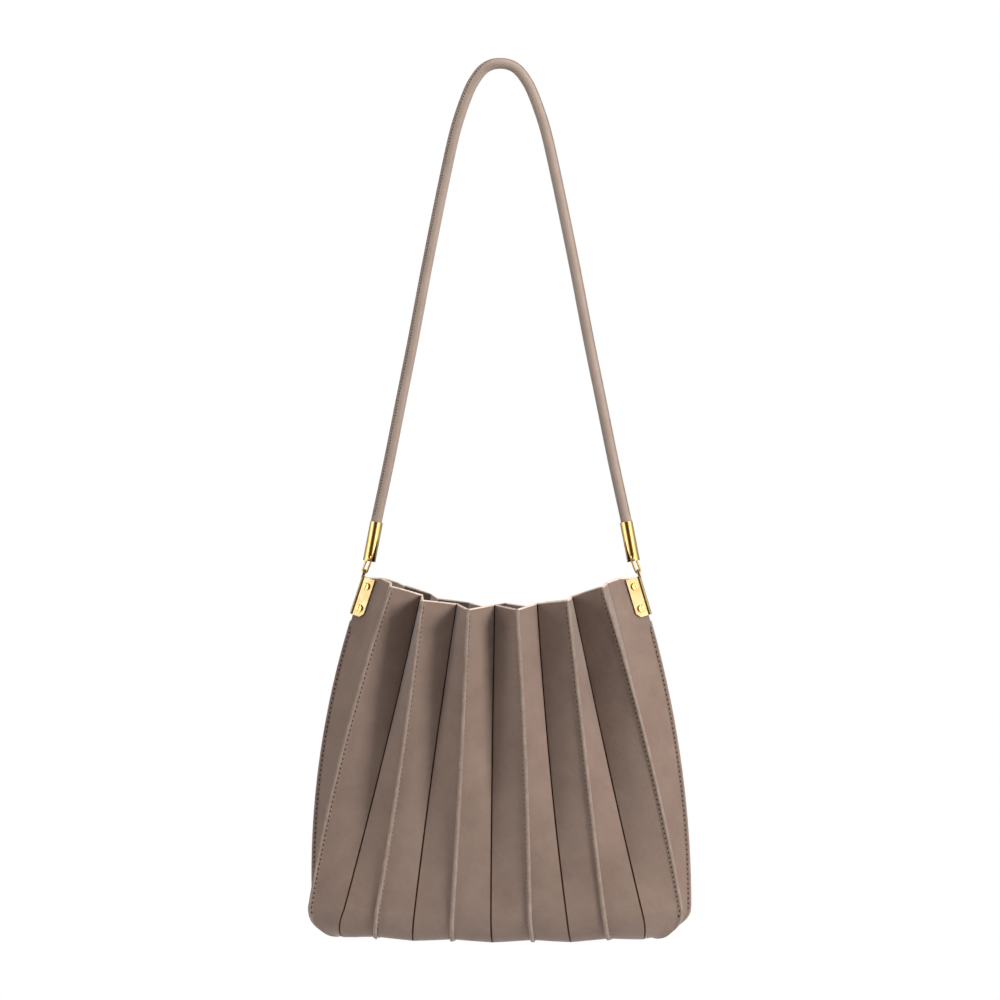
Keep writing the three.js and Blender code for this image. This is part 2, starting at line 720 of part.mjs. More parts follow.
for (const { name, side } of sides) {
  const { frame, linkPlace, linkUp, pinPlace, ferrulePlace, ferruleUp } = fittingsOf.get(side);
  const clampGroup = new THREE.Group();
  clampGroup.position.copy(frame.top);
  clampGroup.quaternion.setFromRotationMatrix(frame.basis);
  group.add(clampGroup);
  place(clampGroup, `clamp_${name}`, clamp(), satinGold);
  for (const [facing, leaf] of [['front', -side], ['back', side]]) {
    for (const row of screwRows) {
      const mesh = place(clampGroup, `screw_${name}_${facing}_${row.name}`, screw(), polishedGold);
      mesh.applyMatrix4(leafMatrix(leaf, row.fromTop));
    }
  }
  const linkMesh = place(group, `link_${name}`, link(), polishedGold);
  linkMesh.position.copy(linkPlace);
  turnUpright(linkMesh, linkUp);
  const pinMesh = place(group, `pin_${name}`, pin(), polishedGold);
  pinMesh.position.copy(pinPlace);
  const ferruleMesh = place(group, `ferrule_${name}`, ferrule(), polishedGold);
  ferruleMesh.position.copy(ferrulePlace);
  turnUpright(ferruleMesh, ferruleUp);
}

export default group;
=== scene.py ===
"""The looks of a pleated leather shoulder bag that hangs by its rolled strap."""
import math

import bpy
import numpy as np
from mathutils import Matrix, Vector, noise


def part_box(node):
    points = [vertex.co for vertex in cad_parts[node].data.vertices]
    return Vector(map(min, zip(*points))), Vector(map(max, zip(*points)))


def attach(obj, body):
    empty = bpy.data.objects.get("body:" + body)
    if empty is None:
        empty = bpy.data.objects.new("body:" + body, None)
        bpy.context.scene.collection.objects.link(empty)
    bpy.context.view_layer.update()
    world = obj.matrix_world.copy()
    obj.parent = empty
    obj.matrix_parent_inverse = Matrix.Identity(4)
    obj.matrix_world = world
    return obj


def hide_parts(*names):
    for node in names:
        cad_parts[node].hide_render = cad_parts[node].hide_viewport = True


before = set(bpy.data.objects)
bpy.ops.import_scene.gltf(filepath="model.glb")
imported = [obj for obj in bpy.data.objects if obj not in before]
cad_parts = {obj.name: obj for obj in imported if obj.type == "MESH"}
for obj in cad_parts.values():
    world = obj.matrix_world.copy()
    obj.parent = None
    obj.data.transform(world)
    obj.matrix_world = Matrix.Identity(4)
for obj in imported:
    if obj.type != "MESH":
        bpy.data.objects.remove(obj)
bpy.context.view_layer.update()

MM = 0.001

# Sizes of the body, the same as the solids have
RIM_HALF_WIDTH = 96.4 * MM
RIM_HALF_DEPTH = 69 * MM
RIM_DROP = 357 * MM
RIM_SAG = 21 * MM
BODY_HEIGHT = 250 * MM
FOOT_HALF_WIDTH = 133 * MM
FOOT_HALF_DEPTH = 54 * MM
FOOT_LIFT = 4 * MM                       # the bottom curves up by this much at its two ends
TURN_RADIUS = 17 * MM
CORE_CORNER = 20 * MM                    # corner radius of the outline that the turn ends on
CORE_WIDTH_SHARE = 0.83                  # of the foot's width, for that outline
CORE_DEPTH_SHARE = 0.92                  # of its depth, before the turn's radius goes off
FLANGE = 8 * MM
WALL = 1.4 * MM
SEAM_GAP = 0.4 * MM
FIN_WIDTH = 3.5 * MM
FOLD_EASE = 1.6                          # how late the folds flatten on their way down

# Clamp, where it pinches the leather
CLAMP_SHARE = 0.13
CLAMP_FIN = 1.4 * MM
CLAMP_OPENING = math.radians(30)
CLAMP_FIN_FADE = 0.04                    # share of the height in which a side seam widens again
PINCH_FADE = 0.25

# One row per fold from the left side seam to the right one, as in the solids:
# rim x, rim depth, sag, foot x, foot depth and bow, as shares of the sizes above.
FOLDS = [
    dict(rim_x=-0.993, rim_y=0.00, sag=0.00, foot_x=-0.995, foot_y=0.00, bow=-0.115),
    dict(rim_x=-0.770, rim_y=0.29, sag=0.14, foot_x=-0.860, foot_y=0.37, bow=-0.060),
    dict(rim_x=-0.750, rim_y=0.69, sag=0.28, foot_x=-0.978, foot_y=0.75, bow=-0.050),
    dict(rim_x=-0.530, rim_y=0.45, sag=0.55, foot_x=-0.783, foot_y=0.87, bow=0.010),
    dict(rim_x=-0.517, rim_y=0.85, sag=0.72, foot_x=-0.614, foot_y=0.97, bow=0.020),
    dict(rim_x=-0.264, rim_y=0.65, sag=0.84, foot_x=-0.415, foot_y=0.92, bow=-0.012),
    dict(rim_x=-0.176, rim_y=1.00, sag=1.00, foot_x=-0.217, foot_y=1.00, bow=0.010),
    dict(rim_x=0.004, rim_y=0.70, sag=0.86, foot_x=-0.017, foot_y=0.92, bow=-0.005),
    dict(rim_x=0.177, rim_y=1.00, sag=1.00, foot_x=0.187, foot_y=1.00, bow=0.018),
    dict(rim_x=0.300, rim_y=0.67, sag=0.82, foot_x=0.374, foot_y=0.92, bow=-0.020),
    dict(rim_x=0.538, rim_y=0.88, sag=0.72, foot_x=0.568, foot_y=0.97, bow=0.000),
    dict(rim_x=0.535, rim_y=0.48, sag=0.60, foot_x=0.763, foot_y=0.87, bow=-0.010),
    dict(rim_x=0.777, rim_y=0.72, sag=0.28, foot_x=0.972, foot_y=0.75, bow=0.042),
    dict(rim_x=0.780, rim_y=0.29, sag=0.14, foot_x=0.865, foot_y=0.37, bow=0.060),
    dict(rim_x=1.007, rim_y=0.00, sag=0.00, foot_x=1.005, foot_y=0.00, bow=0.095),
]
LAST = len(FOLDS) - 1

# Rows of the fine wall, and its points as shares of each stretch across it
STRAIGHT_ROWS = 84
TURN_ROWS = 14
FLANGE_ROWS = 3
FIN_SHARES = [0, 0.15, 0.55]
ROOT_SHARES = [0, 0.12, 0.3, 0.55, 0.8]
FOLD_SHARES = [0, 0.25, 0.5, 0.72]
CREASE_EDGES = [1.5 * MM, 0.6 * MM]      # distances of the last points from the fold
CREASE_DEPTH = 0.9 * MM
SKIVED_WALL = 1.0 * MM                   # the leather is thinner at a seam's edge
BEAD_HEIGHT = 0.75 * MM                  # painted edge that rounds the two leathers off
BEAD_WIDTH = 2.5 * MM
BEAD_CROWN = 1.15                        # height of the paint's middle, in bead heights
BEAD_LAP = 0.5 * MM                      # how far the paint comes down over the leathers
BEAD_STEPS = 8
BEAD_END = 86                            # degrees of the turn
RIM_ROUND = 0.4 * MM
RIM_INSET = 0.45                         # share of the way to the wall's middle, at its top
RIM_ROWS = 2                             # rows of faces in the rim's paint
RIM_PAINT = 0.6 * MM                     # how far the edge's paint, made paler as a painted highlight, comes down over the leather
PANEL_BULGE = 0.8 * MM
SPLAY = 2.5 * MM                         # the folds spread as they turn under
SPLAY_PEAK = 1 / 2.6                     # the largest value of x (1 - x squared)
SCALLOP = 1.8 * MM                       # the bottom edge hangs lower at a fold than at a seam
TURN_EASE = 1.9                          # softer at the bottom corners than the solids
CREASE_RUN = {3: -6 * MM, LAST - 3: 2.5 * MM}   # two creases swing sideways under the bag
MIDDLE_FIN_FADE = (62, 26)               # degrees of the turn: where a fin fades, and for how long
OUTER_FIN_FADE = (12, 34)
FIN_REST = 0.04                          # share of a fin that is left when it has faded
SLOW_LUMPS = dict(per_metre=24, height=0.5 * MM)
FINE_LUMPS = dict(per_metre=70, height=0.15 * MM)

# Stitches
STITCH_LENGTH = 2.3 * MM
STITCH_PITCH = 3.4 * MM
STITCH_THICKNESS = 0.5 * MM
STITCH_AT = 0.42                         # share of the fin's width from its root
STITCH_FIN = 0.97                        # they end where less of the fin is left
STITCH_SIDES = 6
STITCH_LIFT = 0.2                        # of its thickness, above the leather
# Rows of (place along the stitch, thickness), as shares
STITCH_ROWS = [(-0.5, 0.35), (-0.38, 0.85), (0, 1.0), (0.38, 0.85), (0.5, 0.35)]
HOLE_RADIUS = 0.8 * MM
HOLE_SIDES = 8
HOLE_LIFT = 0.05 * MM                    # above the leather
HOLE_RISE = 0.06 * MM


def mix(a, b, share):
    return a + (b - a) * share


def smooth(share):
    share = min(1.0, max(0.0, share))
    return share * share * (3 - 2 * share)


# Camera

CAMERA_AZIMUTH = math.radians(4.5)
CAMERA_DISTANCE = 3.05
CAMERA_HEIGHT = -0.340
PICTURE_MIDDLE = -0.3023                # height shown at the picture's middle
FRAME_WIDTH = 0.70                      # metres across the picture at the bag


def add_camera():
    data = bpy.data.cameras.new("camera")
    data.sensor_width = 36
    data.lens = data.sensor_width * CAMERA_DISTANCE / FRAME_WIDTH
    camera = bpy.data.objects.new("camera", data)
    camera.location = (
        CAMERA_DISTANCE * math.sin(CAMERA_AZIMUTH),
        -CAMERA_DISTANCE * math.cos(CAMERA_AZIMUTH),
        CAMERA_HEIGHT,
    )
    tilt = math.atan2(PICTURE_MIDDLE - CAMERA_HEIGHT, CAMERA_DISTANCE)
    camera.rotation_euler = (math.pi / 2 + tilt, 0, CAMERA_AZIMUTH)
    bpy.context.collection.objects.link(camera)
    bpy.context.scene.camera = camera


# Materials

def new_material(name):
    material = bpy.data.materials.new(name)
    material.use_nodes = True
    nodes = material.node_tree.nodes
    return material, nodes, material.node_tree.links, nodes["Principled BSDF"]


def add_noise(nodes, links, coords, scale, detail=3.0, roughness=0.55):
    node = nodes.new("ShaderNodeTexNoise")
    node.inputs["Scale"].default_value = scale
    node.inputs["Detail"].default_value = detail
    node.inputs["Roughness"].default_value = roughness
    links.new(coords.outputs["Object"], node.inputs["Vector"])
    return node


def add_ramp(nodes, links, source, stops):
    node = nodes.new("ShaderNodeValToRGB")
    ramp = node.color_ramp
    for element, (position, colour) in zip(ramp.elements, (stops[0], stops[-1])):
        element.position = position
        element.color = (*colour, 1)
    for position, colour in stops[1:-1]:
        ramp.elements.new(position).color = (*colour, 1)
    links.new(source, node.inputs["Fac"])
    return node


def add_range(nodes, links, source, low, high):
    node = nodes.new("ShaderNodeMapRange")
    node.inputs["To Min"].default_value = low
    node.inputs["To Max"].default_value = high
    links.new(source, node.inputs["Value"])
    return node


def add_bump(nodes, links, height, strength, distance, below=None):
    node = nodes.new("ShaderNodeBump")
    node.inputs["Strength"].default_value = strength
    node.inputs["Distance"].default_value = distance
    links.new(height, node.inputs["Height"])
    if below is not None:
        links.new(below.outputs["Normal"], node.inputs["Normal"])
    return node


def leather(name, dark, middle, light, roughness=0.6, grain=0.5):
    """Fine pebbled leather: cloudy colour, with pebbles, pores and creases in the bump."""
    material, nodes, links, shader = new_material(name)
    coords = nodes.new("ShaderNodeTexCoord")
    clouds = add_noise(nodes, links, coords, 35, 7, 0.7)
    colour = add_ramp(nodes, links, clouds.outputs["Fac"],
                      [(0.3, dark), (0.5, middle), (0.72, light)])
    links.new(colour.outputs["Color"], shader.inputs["Base Color"])
    cells = nodes.new("ShaderNodeTexVoronoi")
    cells.feature = "SMOOTH_F1"
    cells.inputs["Scale"].default_value = 1100
    links.new(coords.outputs["Object"], cells.inputs["Vector"])
    pores = add_noise(nodes, links, coords, 2600, 2)
    creases = add_noise(nodes, links, coords, 260, 4)
    first = add_bump(nodes, links, cells.outputs["Distance"], grain, 0.00012)
    second = add_bump(nodes, links, pores.outputs["Fac"], grain * 0.6, 0.00006, first)
    third = add_bump(nodes, links, creases.outputs["Fac"], grain * 0.8, 0.0003, second)
    links.new(third.outputs["Normal"], shader.inputs["Normal"])
    rough = add_range(nodes, links, creases.outputs["Fac"], roughness - 0.08, roughness + 0.1)
    links.new(rough.outputs["Result"], shader.inputs["Roughness"])
    shader.inputs["Specular IOR Level"].default_value = 0.3
    shader.inputs["Sheen Weight"].default_value = 0.25
    shader.inputs["Sheen Roughness"].default_value = 0.4
    return material


def matt_paint_and_painted_light(name, dark, light, specular=0.3):
    """Matt painted leather edge with slight unevenness; the same matt material also carries the
    painted highlight on the rim's edge and the painted shade in creases and needle holes.
    """
    material, nodes, links, shader = new_material(name)
    coords = nodes.new("ShaderNodeTexCoord")
    clouds = add_noise(nodes, links, coords, 180, 4)
    colour = add_ramp(nodes, links, clouds.outputs["Fac"], [(0.3, dark), (0.7, light)])
    links.new(colour.outputs["Color"], shader.inputs["Base Color"])
    fine = add_noise(nodes, links, coords, 1500, 2)
    bump = add_bump(nodes, links, fine.outputs["Fac"], 0.4, 0.0001)
    links.new(bump.outputs["Normal"], shader.inputs["Normal"])
    shader.inputs["Roughness"].default_value = 0.6
    shader.inputs["Specular IOR Level"].default_value = specular
    return material


def suede(name, dark, light):
    """The leather's flesh side: matt, with a soft nap."""
    material, nodes, links, shader = new_material(name)
    coords = nodes.new("ShaderNodeTexCoord")
    clouds = add_noise(nodes, links, coords, 60, 6, 0.65)
    colour = add_ramp(nodes, links, clouds.outputs["Fac"], [(0.3, dark), (0.7, light)])
    links.new(colour.outputs["Color"], shader.inputs["Base Color"])
    nap = add_noise(nodes, links, coords, 1800, 4, 0.7)
    bump = add_bump(nodes, links, nap.outputs["Fac"], 0.7, 0.0002)
    links.new(bump.outputs["Normal"], shader.inputs["Normal"])
    shader.inputs["Roughness"].default_value = 0.9
    shader.inputs["Sheen Weight"].default_value = 0.3
    return material


def thread(name, dark, light):
    """Twisted thread: a fine diagonal lay in the bump."""
    material, nodes, links, shader = new_material(name)
    coords = nodes.new("ShaderNodeTexCoord")
    clouds = add_noise(nodes, links, coords, 500, 3)
    colour = add_ramp(nodes, links, clouds.outputs["Fac"], [(0.3, dark), (0.7, light)])
    links.new(colour.outputs["Color"], shader.inputs["Base Color"])
    lay = nodes.new("ShaderNodeTexWave")
    lay.bands_direction = "DIAGONAL"
    lay.inputs["Scale"].default_value = 900
    links.new(coords.outputs["Object"], lay.inputs["Vector"])
    bump = add_bump(nodes, links, lay.outputs["Fac"], 0.5, 0.0001)
    links.new(bump.outputs["Normal"], shader.inputs["Normal"])
    shader.inputs["Roughness"].default_value = 0.6
    return material


def gold(name, colour, deep, roughness, scratches):
    """Gold plate: slight colour drift, smudges in the roughness and hair scratches."""
    material, nodes, links, shader = new_material(name)
    coords = nodes.new("ShaderNodeTexCoord")
    clouds = add_noise(nodes, links, coords, 120, 4)
    tint = add_ramp(nodes, links, clouds.outputs["Fac"], [(0.3, deep), (0.7, colour)])
    links.new(tint.outputs["Color"], shader.inputs["Base Color"])
    shader.inputs["Metallic"].default_value = 1
    smudges = add_noise(nodes, links, coords, 420, 5)
    rough = add_range(nodes, links, smudges.outputs["Fac"], roughness * 0.7, roughness * 1.4)
    links.new(rough.outputs["Result"], shader.inputs["Roughness"])
    fine = add_noise(nodes, links, coords, 2400, 3, 0.7)
    bump = add_bump(nodes, links, fine.outputs["Fac"], scratches, 0.00003)
    links.new(bump.outputs["Normal"], shader.inputs["Normal"])
    return material


body_leather = leather("body_leather", (0.172, 0.118, 0.093), (0.197, 0.138, 0.11),
                       (0.222, 0.158, 0.127), grain=0.9)
# Near-black painted shade along the valley creases, where shade falls in the fold.
crease_painted_shade = matt_paint_and_painted_light("crease_painted_shade", (0.042, 0.019, 0.011), (0.06, 0.03, 0.02), 0.1)
strap_leather = leather("strap_leather", (0.29, 0.222, 0.182), (0.32, 0.246, 0.203),
                        (0.35, 0.27, 0.224), 0.36, 0.8)
flesh_side = suede("flesh_side", (0.12, 0.088, 0.068), (0.16, 0.118, 0.092))
# The rim's edge paint, made much paler than the same paint on the seams: a painted highlight from
# the light above.
rim_edge_painted_light = matt_paint_and_painted_light("rim_edge_painted_light", (0.6, 0.46, 0.38), (0.74, 0.59, 0.5))
seam_edge = matt_paint_and_painted_light("seam_edge", (0.21, 0.155, 0.125), (0.29, 0.22, 0.18))
taupe_thread = thread("taupe_thread", (0.2, 0.145, 0.115), (0.3, 0.225, 0.18))
# Near-black dots of painted shade at the needle holes.
needle_hole_shade = matt_paint_and_painted_light("needle_hole_shade", (0.016, 0.009, 0.006), (0.026, 0.015, 0.01), 0.1)
polished_gold = gold("polished_gold", (0.93, 0.69, 0.3), (0.85, 0.58, 0.2), 0.12, 0.1)
satin_gold = gold("satin_gold", (0.7, 0.55, 0.31), (0.5, 0.36, 0.16), 0.3, 0.3)


# Meshes

def add_mesh(name, vertices, faces, materials, face_material=None, sharp_angle=35):
    mesh = bpy.data.meshes.new(name)
    mesh.from_pydata([tuple(v) for v in vertices], [], [tuple(f) for f in faces])
    mesh.update()
    for material in materials:
        mesh.materials.append(material)
    if face_material is not None:
        mesh.polygons.foreach_set("material_index", face_material)
    mesh.shade_smooth()
    mesh.set_sharp_from_angle(angle=math.radians(sharp_angle))
    piece = bpy.data.objects.new(name, mesh)
    bpy.context.collection.objects.link(piece)
    return piece


def loft(rings, closed_along=False, caps=True):
    """Faces of a skin through rings of equal length, with its vertices."""
    rows, count = len(rings), len(rings[0])
    faces = []
    steps = rows if closed_along else rows - 1
    for k in range(steps):
        a, b = k * count, ((k + 1) % rows) * count
        for j in range(count):
            n = (j + 1) % count
            faces.append((a + j, a + n, b + n, b + j))
    if caps and not closed_along:
        faces.append(tuple(reversed(range(count))))
        faces.append(tuple(range((rows - 1) * count, rows * count)))
    return [p for ring in rings for p in ring], faces


def face_outwards(vertices, faces):
    """Turns all faces round if their signed volume is negative."""
    points = np.array(vertices, float)
    volume = 0.0
    for face in faces:
        a = points[face[0]]
        for i in range(1, len(face) - 1):
            volume += np.dot(a, np.cross(points[face[i]], points[face[i + 1]]))
    return faces if volume > 0 else [tuple(reversed(f)) for f in faces]


# The folded wall

TURN_TOP = -(RIM_DROP + BODY_HEIGHT) + TURN_RADIUS + WALL
CORE_HALF_WIDTH = FOOT_HALF_WIDTH * CORE_WIDTH_SHARE
CORE_HALF_DEPTH = FOOT_HALF_DEPTH * CORE_DEPTH_SHARE - TURN_RADIUS


def lift_at(x):
    return FOOT_LIFT * (x / FOOT_HALF_WIDTH) ** 2


def fold_point(fold, share):
    ease = share ** FOLD_EASE
    foot_x = fold["foot_x"] * FOOT_HALF_WIDTH
    x = mix(fold["rim_x"] * RIM_HALF_WIDTH, foot_x, share)
    x += fold["bow"] * RIM_HALF_WIDTH * 4 * share * (1 - share)
    y = -mix(fold["rim_y"] * RIM_HALF_DEPTH, fold["foot_y"] * FOOT_HALF_DEPTH, ease)
    top = -RIM_DROP - fold["sag"] * RIM_SAG
    return np.array([x, y, mix(top, TURN_TOP + lift_at(foot_x), share)])


def side_point(fold, share):
    """A seam's edge, which runs straight from the rim to just below the clamps."""
    if share >= CLAMP_SHARE:
        return fold_point(fold, share)
    return mix(fold_point(fold, 0), fold_point(fold, CLAMP_SHARE), share / CLAMP_SHARE)


def is_side(index):
    return index in (0, LAST)


def neighbour(index, side, share):
    following = index + side
    if 0 <= following <= LAST:
        return fold_point(FOLDS[following], share)
    mirrored = fold_point(FOLDS[1 if following < 0 else LAST - 1], share)
    mirrored[1] = -mirrored[1]
    return mirrored


def seam_direction(index, share):
    middle = (neighbour(index, -1, share) + neighbour(index, 1, share)) / 2
    out = fold_point(FOLDS[index], share) - middle
    out[2] = 0
    return out / np.linalg.norm(out)


def fin_at(index, share):
    """The side seams are trimmed under the clamp and widen again just below it."""
    if not is_side(index):
        return FIN_WIDTH
    return mix(CLAMP_FIN, FIN_WIDTH, smooth((share - CLAMP_SHARE) / CLAMP_FIN_FADE))


def pinch_at(share):
    return min(1.0, max(0.0, 1 - (share - CLAMP_SHARE) / PINCH_FADE))


def half_keys(valley, side, share, degrees):
    """Inner face of half a gore: the seam's edge, its root, half way and the fold."""
    index = valley + side
    fin_share = fin_share_at(index, degrees)
    fold = fold_point(FOLDS[valley], share)
    edge = side_point(FOLDS[index], share)
    out = seam_direction(index, share)
    along = np.array([-out[1], out[0], 0]) * (-side * SEAM_GAP / 2)
    fin = fin_at(index, share)
    root = edge - out * fin + along
    tip = root + out * (fin - BEAD_HEIGHT) * fin_share
    half = (root + fold) / 2
    if is_side(index):
        inwards = np.array([-np.sign(out[0]) * math.cos(CLAMP_OPENING),
                            -math.sin(CLAMP_OPENING), 0])
        pinched = root + inwards * np.linalg.norm(root - fold) / 2
        half = mix(half, pinched, pinch_at(share))
    return [tip, root, half, fold]


def mitres(line):
    """For each point, the plan step from the inner face to the outer one."""
    steps = np.diff(line[:, :2], axis=0)
    normals = np.stack([steps[:, 1], -steps[:, 0]], axis=1)
    normals /= np.linalg.norm(normals, axis=1, keepdims=True)
    before = np.vstack([normals[:1], normals])
    after = np.vstack([normals, normals[-1:]])
    dots = np.sum(before * after, axis=1, keepdims=True)
    thickness = np.full((len(line), 1), WALL)
    thickness[0] = thickness[-1] = SKIVED_WALL
    mitre = (before + after) * thickness / (1 + dots)
    return np.hstack([mitre, np.zeros((len(line), 1))])


def half_samples(keys):
    """Points along one half with their share from root to fold and their height on the fin."""
    tip, root, half, fold = keys
    fin = np.linalg.norm(tip - root)
    samples = [(mix(tip, root, t), 0, fin * (1 - t)) for t in FIN_SHARES]
    samples += [(mix(root, half, t), t / 2, 0) for t in ROOT_SHARES]
    length = np.linalg.norm(fold - half)
    near = [1 - d / length for d in CREASE_EDGES]
    samples += [(mix(half, fold, t), (1 + t) / 2, 0) for t in FOLD_SHARES + near]
    return samples


def swell_at(place, normal, t, share):
    """The panel's soft bulge and slow unevenness, square to it."""
    hump = 4 * t * (1 - t)
    fade = smooth(share * 8) * (1 - share ** 6)
    height = PANEL_BULGE * math.sin(math.pi * min(1, share * 1.05)) * hump
    for lumps in (SLOW_LUMPS, FINE_LUMPS):
        height += noise.noise(Vector(place * lumps["per_metre"])) * lumps["height"] * hump * fade
    return normal * height


def gore_lines(valley, share, degrees):
    """Inner and outer line of a gore, each point as (place, share to the fold, fin height)."""
    left = half_keys(valley, -1, share, degrees)
    right = half_keys(valley, 1, share, degrees)
    inner_keys = np.array(left + right[2::-1])
    outer_keys = inner_keys + mitres(inner_keys)
    lines = []
    for keys in (inner_keys, outer_keys):
        halves = [half_samples(keys[:4]), half_samples(keys[:2:-1])]
        for samples, root, fold, turn in ((halves[0], keys[1], keys[3], 1),
                                          (halves[1], keys[5], keys[3], -1)):
            step = fold - root
            normal = np.array([step[1], -step[0], 0]) * turn
            normal /= np.linalg.norm(normal)
            for i, (place, t, height) in enumerate(samples):
                samples[i] = (place + swell_at(place, normal, t, share), t, height)
        lines.append((halves[0], halves[1][::-1], keys[3]))
    inwards = lines[0][2] - lines[1][2]
    inwards[2] = 0
    inwards /= np.linalg.norm(inwards)
    groove = lines[1][2] + inwards * CREASE_DEPTH
    inner = lines[0][0] + [(lines[0][2], 1, 0)] + lines[0][1]
    outer = lines[1][0] + [(groove, 1, 0)] + lines[1][1]
    return inner, outer


def bend(point, layer, degrees, reach, t):
    """Carries a point of the straight wall round the turn and in under the bag."""
    box_x = CORE_HALF_WIDTH - CORE_CORNER
    box_y = CORE_HALF_DEPTH - CORE_CORNER
    corner = np.array([min(box_x, max(-box_x, point[0])), min(box_y, max(-box_y, point[1]))])
    out = point[:2] - corner
    radius = np.linalg.norm(out) - CORE_CORNER
    out /= np.linalg.norm(out)
    angle = math.radians(degrees)
    swing = mix(radius, TURN_RADIUS + layer, (degrees / 90) ** TURN_EASE)
    plan = corner + out * (CORE_CORNER + swing * math.cos(angle) - reach)
    height = TURN_TOP - swing * math.sin(angle) + lift_at(plan[0])
    across = point[0] / FOOT_HALF_WIDTH
    plan[0] += SPLAY / SPLAY_PEAK * across * (1 - min(1, across ** 2)) * math.sin(angle)
    hang = SCALLOP * t * (1 - min(1, across ** 4)) * math.sin(angle) ** 2
    return np.array([plan[0], plan[1], height - hang])


def fin_share_at(index, degrees):
    """How much of a standing seam is left on its way round the turn."""
    start, length = MIDDLE_FIN_FADE if 3 < index < LAST - 3 else OUTER_FIN_FADE
    return max(FIN_REST, 1 - smooth((degrees - start) / length))


def wall_rows():
    """(share, degrees, reach) of each row from the rim to the end of the flange."""
    rows = [(i / STRAIGHT_ROWS, 0, 0) for i in range(STRAIGHT_ROWS + 1)]
    rows.insert(1, (RIM_PAINT / BODY_HEIGHT, 0, 0))
    rows += [(1, 90 * (i + 1) / TURN_ROWS, 0) for i in range(TURN_ROWS)]
    rows += [(1, 90, FLANGE * (i + 1) / FLANGE_ROWS) for i in range(FLANGE_ROWS)]
    return rows


def gore_ring(valley, row):
    """One closed section of a gore: along its inner face and back along its outer one."""
    share, degrees, reach = row
    inner, outer = gore_lines(valley, share, degrees)
    ring = []
    for samples, layer in ((inner, 0), (outer[::-1], WALL)):
        for place, t, height in samples:
            if degrees > 0:
                place = bend(place, layer + height, degrees, reach, t)
                place[0] += CREASE_RUN.get(valley, 0) * t * math.sin(math.radians(degrees))
            ring.append(place)
    return ring


def rounded_rim(ring):
    """A narrower copy of the first ring just above it, which rounds the rim's cut edge."""
    up = np.array([0, 0, RIM_ROUND])
    return [mix(p, (p + q) / 2, RIM_INSET) + up for p, q in zip(ring, ring[::-1])]


OUTSIDE, INSIDE, CUT_EDGE, CREASE_SHADE = range(4)     # material slots of a gore; the crease slot is painted shade and the cut edge carries a painted highlight


def gore_face_slot(row, j, width, valley):
    """Which material a face takes, from its row and its place round the section."""
    middle = width + width // 2
    if row < RIM_ROWS:
        return CUT_EDGE
    if j < width - 1:
        return INSIDE
    # The valleys' grooves, apart from the outermost ones, take the dark painted crease shade.
    if j in (middle - 1, middle) and 1 < valley < LAST - 1:
        return CREASE_SHADE
    return OUTSIDE


def add_gore(valley, back):
    name = f"gore_{'back' if back else 'front'}_{(valley + 1) // 2}"
    rings = [gore_ring(valley, row) for row in wall_rows()]
    rings = [rounded_rim(rings[0])] + rings
    count = len(rings[0])
    width = count // 2
    vertices, faces = loft(rings, caps=False)
    material = [gore_face_slot(i // count, i % count, width, valley) for i in range(len(faces))]
    last = (len(rings) - 1) * count
    for j in range(width - 1):
        faces.append((count - 1 - j, count - 2 - j, j + 1, j))
        faces.append((last + j, last + j + 1, last + count - 2 - j, last + count - 1 - j))
        material += [CUT_EDGE, CUT_EDGE]
    points = np.array(vertices)
    if back:
        points[:, 1] *= -1
    faces = face_outwards(points, faces)
    piece = add_mesh(name + "_leather", points, faces,
                     [body_leather, flesh_side, rim_edge_painted_light, crease_painted_shade], material)
    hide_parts(name)
    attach(piece, "root")


def bead_section():
    """Rounded section of a seam's painted edge as (height above the leathers, across)."""
    half = BEAD_WIDTH / 2
    points = [(-BEAD_LAP, -half)]
    for i in range(BEAD_STEPS + 1):
        angle = math.pi * (i / BEAD_STEPS - 0.5)
        points.append((BEAD_HEIGHT * math.cos(angle) * BEAD_CROWN, half * math.sin(angle)))
    points.append((-BEAD_LAP, half))
    return points


def bead_ring(index, row):
    """One section of a seam's painted edge."""
    share, degrees, reach = row
    out = seam_direction(index, share)
    across = np.array([-out[1], out[0], 0])
    fin = fin_at(index, share)
    root = side_point(FOLDS[index], share) - out * fin
    height = (fin - BEAD_HEIGHT) * fin_share_at(index, degrees)
    ring = []
    for up, aside in bead_section():
        place = root + out * (height + up) + across * aside
        if degrees > 0:
            place = bend(place, WALL / 2 + height + up, degrees, reach, 0)
        ring.append(place)
    return ring


def bead_rings(index):
    """A side seam's edge starts just below the clamp, and the others start at the rim."""
    rows = [row for row in wall_rows() if row[2] == 0 and row[1] < BEAD_END]
    if is_side(index):
        return [bead_ring(index, row) for row in rows if row[0] >= CLAMP_SHARE]
    rings = [bead_ring(index, row) for row in rows]
    top = [p + np.array([0, 0, RIM_ROUND]) for p in rings[0]]
    return [top] + rings


def add_beads():
    """One painted edge along each standing seam, from the rim to below the bag."""
    vertices, faces, material = [], [], []
    for index in range(0, LAST + 1, 2):
        rings = bead_rings(index)
        # The top ring of a middle seam's bead takes the rim's paler paint, with its painted
        # highlight.
        rim_light_faces = 0 if is_side(index) else len(rings[0])
        for flip in (1,) if is_side(index) else (1, -1):
            points, skin = loft(rings)
            points = np.array(points) * np.array([1, flip, 1])
            skin = face_outwards(points, skin)
            start = len(vertices)
            vertices.extend(points)
            faces.extend(tuple(start + i for i in face) for face in skin)
            material.extend([1 if i < rim_light_faces else 0 for i in range(len(skin))])
    piece = add_mesh("seam_edges", vertices, faces, [seam_edge, rim_edge_painted_light], material, 60)
    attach(piece, "root")


def dress_base():
    """The base keeps its solid and takes the leather."""
    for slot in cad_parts["base"].material_slots:
        slot.material = body_leather


